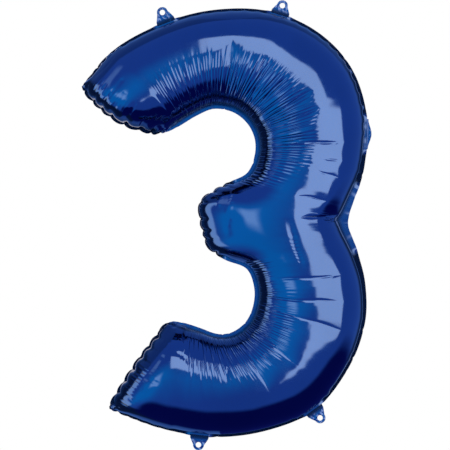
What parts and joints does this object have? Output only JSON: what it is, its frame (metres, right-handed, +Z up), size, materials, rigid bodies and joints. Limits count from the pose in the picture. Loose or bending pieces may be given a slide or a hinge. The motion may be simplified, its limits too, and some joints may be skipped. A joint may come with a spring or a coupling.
{
  "type": "foil number balloon",
  "caption": "Inflated foil number balloon in the shape of the digit 3, with welded edge, punched hanging tabs and a self-sealing fill valve.",
  "frame": {"origin": "centre of the bounding box, in the plane of the weld between the two films", "axes": "+X to the right of the digit, +Z up, the front faces -Y"},
  "size_m": [0.5618, 0.1598, 0.866],
  "materials": {
    "blue_foil": "polished",
    "tab_foil": "polished",
    "neck_foil": "gloss",
    "valve_film": "gloss"
  },
  "bodies": {
    "envelope": {"front_panel": "blue_foil", "back_panel": "blue_foil", "valve_front_film": "valve_film", "valve_back_film": "valve_film"},
    "tab_upper_left": {"tab_upper_left": "tab_foil"},
    "tab_upper_right": {"tab_upper_right": "tab_foil"},
    "tab_lower_left": {"tab_lower_left": "tab_foil"},
    "tab_lower_right": {"tab_lower_right": "tab_foil"},
    "neck_front_lip": {"neck_front_flap": "neck_foil"},
    "neck_back_lip": {"neck_back_flap": "neck_foil"}
  },
  "joints": [
    {"name": "tab_upper_left_fold", "type": "hinge", "parent": "envelope", "child": "tab_upper_left", "pos_m": [-0.11424, 0, 0.39259], "axis": [0.9335, 0, 0.3586], "range_deg": [-85, 85], "stiffness_Nm_per_rad": 0.0005},
    {"name": "tab_upper_right_fold", "type": "hinge", "parent": "envelope", "child": "tab_upper_right", "pos_m": [0.10633, 0, 0.40819], "axis": [0.9578, 0, -0.2875], "range_deg": [-85, 85], "stiffness_Nm_per_rad": 0.0005},
    {"name": "tab_lower_left_fold", "type": "hinge", "parent": "envelope", "child": "tab_lower_left", "pos_m": [-0.0494, 0, -0.408], "axis": [-0.9937, 0, 0.1122], "range_deg": [-85, 85], "stiffness_Nm_per_rad": 0.0005},
    {"name": "tab_lower_right_fold", "type": "hinge", "parent": "envelope", "child": "tab_lower_right", "pos_m": [0.17342, 0, -0.35822], "axis": [-0.8043, 0, -0.5942], "range_deg": [-85, 85], "stiffness_Nm_per_rad": 0.0005},
    {"name": "neck_front_opening", "type": "hinge", "parent": "envelope", "child": "neck_front_lip", "pos_m": [0.27527, -0.00075, 0.17488], "axis": [-0.0254, 0, -0.9997], "range_deg": [0, 70], "stiffness_Nm_per_rad": 0.0002},
    {"name": "neck_back_opening", "type": "hinge", "parent": "envelope", "child": "neck_back_lip", "pos_m": [0.27527, 0.00075, 0.17488], "axis": [0.0254, 0, 0.9997], "range_deg": [0, 70], "stiffness_Nm_per_rad": 0.0002}
  ]
}
